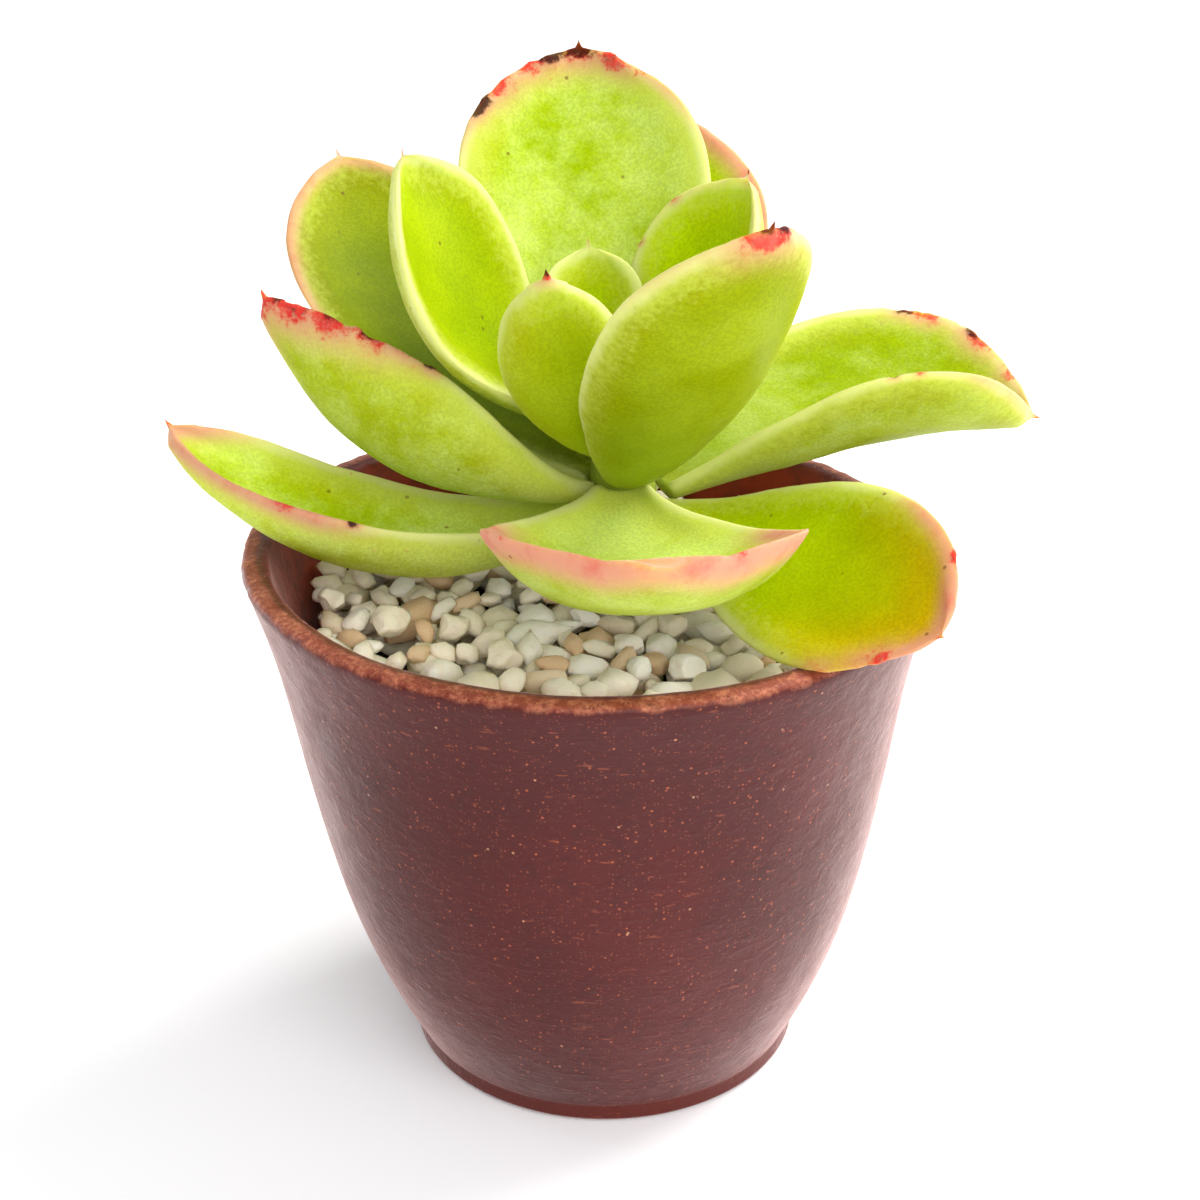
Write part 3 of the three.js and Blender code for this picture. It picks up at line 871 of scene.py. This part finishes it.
# what differs from leaf to leaf
plainLeaf = {
    "bloom": 0.35,  # how much of the pale waxy bloom it has
    "paintedLight": 1.0,  # painted light and shade: how much lighter or darker its green is painted for the light it gets
    "underTone": 1.0,  # how much that painted light and shade is scaled below
    "pointed": 1.0,  # how far its point stands out
    "closing": 0.68,  # how round its end is
    "raised": 0.0,  # 1 where the end rises to the margins
    "warm": 0.0,  # yellowing to the tip
    "pink": (0.25, 1.2, 0.5, 0.5),  # strength, reach in mm, and where it starts on the left and the right
    "marks": [],  # kind, place along, side (1 is the left, seen from the stem), radius in mm, strength
}
leafFinish = {
    "leaf_01": {
        "bloom": 0.3, "pink": (0.5, 1.3, 0.4, 0.4),
        "marks": [("red", 1.0, 0, 1.4, 1.0)],
    },
    "leaf_02": {
        "bloom": 0.5, "closing": 0.85, "paintedLight": 1.12, "underTone": 1.06, "pink": (0.85, 2.3, 0.4, 0.75),
        "marks": [
            ("red", 1.0, 0, 1.2, 1.0), ("scorch", 0.52, 1, 0.9, 1.1), ("red", 0.66, 1, 1.4, 0.7),
            ("red", 0.74, 1, 1.0, 0.6),
        ],
    },
    "leaf_03": {
        "bloom": 0.12, "paintedLight": 0.97, "warm": 1.0, "pink": (0.9, 2.0, 0.55, 0.75),
        "marks": [
            ("red", 0.86, 1, 1.5, 1.1), ("red", 1.0, 0, 1.6, 1.0), ("red", 0.9, -1, 3.0, 0.8),
            ("red", 0.8, -1, 2.0, 0.6),
        ],
    },
    "leaf_04": {
        "bloom": 0.42, "paintedLight": 0.76, "closing": 0.95, "pink": (0.6, 1.5, 0.6, 0.6),
        "marks": [
            ("scorch", 0.7, 1, 1.7, 1.1), ("red", 0.74, 1, 2.8, 0.9), ("scorch", 0.84, 1, 1.7, 1.1),
            ("red", 0.85, 1, 3.0, 0.9), ("red", 0.93, 1, 2.8, 0.7), ("red", 1.0, 0, 1.4, 0.9),
            ("scorch", 0.55, -1, 0.7, 0.9), ("red", 0.62, -1, 0.8, 0.7),
        ],
    },
    "leaf_05": {
        "bloom": 0.0, "closing": 0.76, "paintedLight": 0.6, "warm": 0.15, "pink": (0.75, 1.7, 0.2, 0.6),
        "marks": [("red", 1.0, 0, 1.5, 0.9)],
    },
    "leaf_06": {
        "bloom": 0.62, "paintedLight": 1.2, "underTone": 0.7, "pointed": 0.0, "closing": 0.5, "raised": 1.0,
        "pink": (1.0, 4.0, 0.35, 0.35),
        "marks": [("red", 0.93, 1, 1.2, 0.6), ("red", 0.8, -1, 1.4, 0.6)],
    },
    "leaf_07": {
        "bloom": 0.25, "pink": (0.95, 2.6, 0.4, 0.4),
        "marks": [("red", 1.0, 0, 1.2, 0.7)],
    },
    "leaf_08": {
        "bloom": 0.2, "paintedLight": 0.72, "pink": (0.4, 1.5, 0.65, 0.65),
        "marks": [
            ("red", 1.0, 0, 4.0, 1.4), ("scorch", 0.97, 1, 1.3, 1.1), ("scorch", 0.98, -1, 1.2, 1.0),
            ("scorch", 0.72, 1, 0.5, 1.0),
        ],
    },
    "leaf_09": {
        "bloom": 0.5, "pink": (0.8, 2.0, 0.45, 0.9),
        "marks": [
            ("red", 1.0, 0, 4.6, 1.1), ("red", 0.92, 1, 4.4, 1.05), ("red", 0.84, 1, 4.0, 0.95),
            ("red", 0.74, 1, 3.4, 0.8), ("scorch", 0.96, 1, 1.4, 0.8), ("scorch", 0.84, 1, 1.6, 0.7),
            ("scorch", 0.74, 1, 1.8, 0.8), ("scorch", 0.56, 1, 1.1, 1.1), ("red", 0.62, 1, 1.4, 0.7),
        ],
    },
    "leaf_10": {
        "bloom": 0.6, "paintedLight": 1.04, "pink": (0.7, 1.6, 0.6, 0.65),
        "marks": [
            ("red", 1.0, 0, 4.0, 1.0), ("scorch", 1.0, 0, 3.0, 1.2), ("red", 0.95, -1, 2.8, 1.0),
            ("red", 0.9, -1, 2.0, 0.7), ("scorch", 0.82, 1, 2.2, 1.2), ("red", 0.86, 1, 3.2, 0.9),
            ("scorch", 0.96, 1, 2.4, 1.1), ("red", 0.93, 1, 3.0, 0.9),
        ],
    },
    "leaf_11": {
        "bloom": 0.12, "pink": (0.1, 1.0, 0.8, 0.8),
        "marks": [("scorch", 1.0, 0, 0.8, 1.1), ("red", 1.0, 0, 1.3, 1.1)],
    },
    "leaf_12": {
        "bloom": 0.1, "paintedLight": 1.24, "pink": (0.3, 1.0, 0.6, 0.6),
        "marks": [
            ("red", 1.0, 0, 1.2, 1.1), ("scorch", 1.0, 0, 0.7, 1.1), ("red", 0.8, 1, 0.7, 0.9),
            ("red", 0.6, 1, 0.5, 0.8),
        ],
    },
    "leaf_13": {
        "bloom": 0.1, "paintedLight": 0.82, "pink": (0.15, 1.0, 0.8, 0.8),
        "marks": [("red", 1.0, 0, 0.9, 1.0)],
    },
    "leaf_15": {
        "bloom": 0.15, "pink": (0.1, 1.0, 0.9, 0.9),
        "marks": [("red", 1.0, 0, 0.6, 0.6)],
    },
}

leafColours = {
    "upper": (150, 176, 0),
    "upperLight": (172, 194, 2),
    "bloom": (192, 210, 104),
    "under": (154, 171, 2),
    "underPale": (172, 190, 34),
    "warm": (212, 134, 4),
    "sun": (184, 184, 2),
    "paling": (194, 206, 84),
    "margin": (208, 212, 138),
    "pink": (200, 140, 114),
    "pinkDeep": (194, 100, 88),
    "red": (200, 30, 34),
    "redDark": (112, 16, 20),
    "scorch": (36, 16, 14),
    "speck": (96, 46, 22),
}


def leafSections(name):
    # the CAD leaf's cross-sections from heel to tip, each starting at the left margin and going over the
    # upper face to the right margin and back under
    places, neighbours = mergedCopy(name)
    count = leafShape["ringPoints"]
    low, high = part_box("stem")
    stemMiddle = np.array([(low.x + high.x) / 2, (low.y + high.y) / 2])
    poles = [i for i, near in enumerate(neighbours) if len(near) == count]
    heel = min(poles, key=lambda i: np.linalg.norm(places[i][:2] - stemMiddle))
    tip = max(poles, key=lambda i: np.linalg.norm(places[i] - places[heel]))
    sections, seen, last = [], {heel}, [heel]
    while True:
        level = sorted({n for i in last for n in neighbours[i]} - seen - {tip})
        if len(level) != count:
            break
        walk = [level[0]]
        while len(walk) < count:
            walk.append(next(n for n in neighbours[walk[-1]] if n in level and n not in walk))
        ring = places[walk]
        if sections:
            turned = [np.roll(ring[::way], shift, axis=0) for way in (1, -1) for shift in range(count)]
            ring = min(turned, key=lambda r: ((r - sections[-1]) ** 2).sum())
        sections.append(ring)
        seen.update(level)
        last = level
    rings = np.array(sections)
    half = count // 2
    widths = [np.linalg.norm(rings[:, k] - rings[:, k + half], axis=1).sum() for k in range(half)]
    rings = np.roll(rings, -int(np.argmax(widths)), axis=1)
    chord = (rings[:, 0] + rings[:, half]) / 2
    sides = [np.linalg.norm(rings[:, k] - chord, axis=1).sum() for k in (half // 2, half + half // 2)]
    if sides[0] > sides[1]:  # the side that stands farther from the chord is the underside
        rings = rings[:, [0] + list(range(count - 1, 0, -1))]
    middle = len(rings) // 2
    up = rings[middle, half // 2] - rings[middle, half + half // 2]
    forward = rings[middle + 1].mean(0) - rings[middle - 1].mean(0)
    if np.dot(np.cross(up, forward), rings[middle, 0] - rings[middle, half]) < 0:
        rings = rings[:, [(half - k) % count for k in range(count)]]
    return rings, places[heel], places[tip]


def leafGrid(name, pointed, closingPower, raised):
    rings, heel, tip = leafSections(name)
    fine = np.array([closedCurve(ring, leafShape["divisions"]) for ring in rings])
    columns = fine.shape[1]
    other = sum(leafShape["divisions"][:6])  # the column of the right margin
    knots = np.concatenate([[0], np.cumsum(np.linalg.norm(np.diff(rings.mean(1), axis=0), axis=1))])
    samples = np.linspace(0, knots[-1], leafShape["rows"])
    body = openCurve(fine, knots, samples)
    # from the last section the blade closes in a round, out of which the small point stands
    last = fine[-1]
    centre = last.mean(0)
    ahead = tip - centre
    length = np.linalg.norm(ahead)
    ahead /= length
    wide = last[0] - last[other]
    halfWidth = np.linalg.norm(wide) / 2
    wide /= 2 * halfWidth
    up = np.cross(ahead, wide)
    offset = last - centre
    sideways = offset @ wide
    rest = offset - sideways[:, None] * wide
    # how far the end rises to its margins, and its point over that
    lift = raised * np.dot((last[0] + last[other]) / 2 - centre, up)
    hook = leafShape["hook"] * pointed
    roundLength = max(length - leafShape["point"] * pointed, 0.3 * length)
    cap, capSamples = [], []
    for k in range(1, leafShape["tipRows"]):
        s = length * math.sin(math.pi / 2 * k / leafShape["tipRows"])
        closing = max(0.0, 1 - s / roundLength) ** closingPower
        taper = min(1.0, (length - s) / leafShape["pointLength"]) ** leafShape["pointTaper"]
        sharp = pointed * leafShape["pointRadius"] / halfWidth * taper
        share = min(math.hypot(closing, sharp), 1.0)
        thin = share ** 0.8  # the thickness goes a little later than the width
        ring = centre + ahead * s + up * (hook * (s / length) ** 3 + lift * (1 - thin))
        cap.append(ring + sideways[:, None] * wide * share + rest * thin)
        capSamples.append(knots[-1] + s)
    grid = np.concatenate([body, np.array(cap)])
    along = np.concatenate([samples, capSamples]) / (knots[-1] + length)
    end = tip + up * (hook + lift)
    return grid, along, heel, end, other, columns


def acrossOf():
    # where each column lies: 1 at the left margin, -1 at the right one
    values, turns = [], leafShape["across"] + [1]
    for j, parts in enumerate(leafShape["divisions"]):
        values += [turns[j] + (turns[j + 1] - turns[j]) * k / parts for k in range(parts)]
    return np.array(values)


def marginPink(finish, along, across, edge):
    # pink along each margin, from where it starts to the tip
    strength, reach, leftStart, rightStart = finish["pink"]
    start = np.where(across >= 0, leftStart, rightStart)
    start = np.where(np.abs(across) < 1e-6, min(leftStart, rightStart), start)
    onSide = np.clip((along - start) / leafShape["pinkFade"], 0, 1)
    return strength * onSide * np.exp(-(edge / reach) ** 2)


def addMarks(finish, grid, along, tip, other, places, edge, pink):
    # red and dead dark patches on the margins, each with a wide soft pink round it
    marks = {"red": np.zeros(len(places)), "scorch": np.zeros(len(places))}
    for kind, at, side, radius, power in finish["marks"]:
        row = int(np.argmin(np.abs(along - at)))
        column = {1: 0, -1: other, 0: other // 2}[side]
        spot = tip if at >= 1 else grid[row, column]
        away = np.linalg.norm(places - spot, axis=1) / mm
        hug = np.exp(-(edge / (0.6 * radius + 0.5)) ** 2)  # a mark clings to the margin
        marks[kind] = np.maximum(marks[kind], power * np.exp(-(away / radius) ** 2) * hug)
        blush = np.exp(-(away / (1.8 * radius)) ** 2 - (edge / (1.0 * radius + 0.8)) ** 2)
        pink = np.maximum(pink, 0.9 * min(power, 1.0) * blush)
    return {"pink": pink, **marks}


def buildLeaf(name, material):
    finish = {**plainLeaf, **leafFinish.get(name, {})}
    shape = leafGrid(name, finish["pointed"], finish["closing"], finish["raised"])
    grid, rowsAlong, heel, tip, other, columns = shape
    rows = len(grid)
    places = np.concatenate([grid.reshape(-1, 3), [heel], [tip]])
    along = np.concatenate([np.repeat(rowsAlong, columns), [0, 1]])
    across = np.concatenate([np.tile(acrossOf(), rows), [0, 0]])
    under = (np.arange(columns) > other).astype(float)
    under[0] = under[other] = 0.5
    under = np.concatenate([np.tile(under, rows), [0.5, 0.5]])
    margins = np.concatenate([grid[:, 0], grid[:, other], [tip]])
    edge = np.sqrt(((places[:, None] - margins[None]) ** 2).sum(-1)).min(1) / mm
    pink = marginPink(finish, along, across, edge)
    marks = addMarks(finish, grid, rowsAlong, tip, other, places, edge, pink)
    yellowing = np.clip((along - 0.5) / 0.45, 0, 1) * (0.25 + 0.9 * np.exp(-(edge / 6.5) ** 2))
    attributes = {
        "along": along, "edge": edge, "under": under, **marks,
        "bloom": np.full(len(places), finish["bloom"]),
        # painted light and shade: each leaf's green made lighter or darker for the light it gets
        "paintedLight": finish["paintedLight"] * (1 - under + finish["underTone"] * under),
        "warm": finish["warm"] * yellowing,
    }
    faces = gridFaces(rows, columns, len(places) - 2, len(places) - 1)
    leaf = newPiece(name.replace("leaf_", "leafBlade"), places, faces, material, attributes)
    soft = [(leafShape["swell"], leafShape["swellSize"]), (leafShape["ripple"], leafShape["rippleSize"])]
    ruffle(leaf, soft, np.clip(along * 6, 0, 1))
    marked = np.clip(marks["red"] + marks["scorch"], 0, 1)
    offTip = np.clip((1 - along) * 14, 0, 1)  # the small point stays clean
    ruffle(leaf, [(leafShape["scab"], leafShape["scabSize"])], marked * offTip)
    finishPiece(leaf, [name])


def leafMaterial():
    material, tree, shader = newMaterial("leafSkin")
    place = objectPlace(tree)
    broad = cloud(tree, place, 11 * mm, 3)
    mottled = cloud(tree, place, 3.0 * mm, 4, 0.6)
    flecks = cloud(tree, place, 0.8 * mm, 4, 0.65)
    grain = cloud(tree, place, 0.35 * mm, 2, 0.6)
    edge, along, under = field(tree, "edge"), field(tree, "along"), field(tree, "under")
    bloom, warm = field(tree, "bloom"), field(tree, "warm")
    c = paints(leafColours)
    upper = blend(tree, ramp(tree, broad, 0.35, 0.7), c["upper"], c["upperLight"])
    below = blend(tree, ramp(tree, broad, 0.35, 0.7), c["under"], c["underPale"])
    body = blend(tree, under, upper, below)
    # the waxy bloom lies in soft patches, worn through in flecks, and thickest near the stem
    wax = plus(tree, bloom, sway(tree, mottled, 0.9))
    wax = plus(tree, wax, sway(tree, flecks, 0.35))
    wax = plus(tree, wax, sway(tree, broad, 0.9))
    thick = plus(tree, ramp(tree, along, 0.0, 0.6, 0.8, 0.0), ramp(tree, edge, 0.5, 6.0, 0.4, 0.0))
    wax = plus(tree, wax, times(tree, thick, bloom))
    body = blend(tree, ramp(tree, wax, 0.3, 0.95, 0.0, 0.85), body, c["bloom"])
    body = blend(tree, times(tree, warm, 0.8), body, c["warm"])
    # sun yellows the flesh beside the margin
    sun = ramp(tree, plus(tree, edge, sway(tree, broad, 14.0)), 0.5, 6.5, 0.4, 0.0)
    body = blend(tree, sun, body, c["sun"])
    # the fine grain of pores, times each leaf's painted light and shade
    poresAndPaintedLight = times(tree, ramp(tree, grain, 0.35, 0.65, 0.89, 1.08), field(tree, "paintedLight"))
    shade = addNode(tree, "ShaderNodeCombineColor", None, {0: poresAndPaintedLight, 1: poresAndPaintedLight, 2: poresAndPaintedLight}).outputs[0]
    body = blend(tree, 1.0, body, shade, "MULTIPLY")
    # pale clear margin, with pink over it
    wander = sway(tree, mottled, 1.6)
    speckled = plus(tree, plus(tree, edge, sway(tree, flecks, 7.0)), wander)
    paling = ramp(tree, speckled, 0.2, 4.4, 0.6, 0.0)
    cool = maths(tree, "SUBTRACT", 1.0, times(tree, warm, 1.2), True)
    body = blend(tree, times(tree, paling, cool), body, c["paling"])
    rim = ramp(tree, plus(tree, edge, wander), 0.3, 1.7, 0.85, 0.0)
    body = blend(tree, times(tree, rim, cool), body, c["margin"])
    pink = ramp(tree, plus(tree, field(tree, "pink"), times(tree, wander, 0.08)), 0.05, 0.95)
    pinkColour = blend(tree, ramp(tree, mottled, 0.45, 0.75, 0.0, 0.7), c["pink"], c["pinkDeep"])
    body = blend(tree, pink, body, pinkColour)
    # red patches, then dead dark ones, both with ragged edges
    ragged = sway(tree, flecks, 1.2)
    patchy = plus(tree, plus(tree, field(tree, "red"), ragged), sway(tree, mottled, 1.5))
    red = ramp(tree, patchy, 0.36, 0.8)
    redColour = blend(tree, ramp(tree, flecks, 0.32, 0.5), c["redDark"], c["red"])
    redColour = blend(tree, ramp(tree, mottled, 0.5, 0.66, 0.0, 0.6), redColour, c["pinkDeep"])
    redColour = blend(tree, ramp(tree, grain, 0.6, 0.72, 0.0, 0.6), redColour, c["pink"])
    body = blend(tree, times(tree, red, 0.9), body, redColour)
    scorch = ramp(tree, plus(tree, field(tree, "scorch"), ragged), 0.4, 0.8)
    body = blend(tree, times(tree, scorch, 0.92), body, c["scorch"])
    # and a few small dark dots
    dotAway, dotPicks = cells(tree, place, 2.3 * mm)
    dot = times(tree, ramp(tree, dotAway, 0.07, 0.14, 1.0, 0.0), ramp(tree, dotPicks[0], 0.9, 0.93))
    body = blend(tree, times(tree, dot, 0.6), body, c["speck"])
    tree.links.new(body, shader.inputs["Base Color"])
    tree.links.new(ramp(tree, wax, 0.1, 0.8, 0.36, 0.55), shader.inputs["Roughness"])
    setSockets(shader, {
        "Specular IOR Level": 0.03,
        "Subsurface Weight": 0.35,
        "Subsurface Scale": 0.0025,
        "Subsurface Radius": (0.9, 1.0, 0.15),
    })
    relief(tree, shader, [(mottled, 0.35 * mm, 0.25), (grain, 0.09 * mm, 0.38)])
    return material


def buildLeaves():
    material = leafMaterial()
    names = namesOf("leaf_")
    for name in names:
        buildLeaf(name, material)
    print("leaves ready:", len(names))


addStudio()
buildPot()
buildSoil()
buildGravel()
buildStem()
buildLeaves()

bpy.context.view_layer.update()
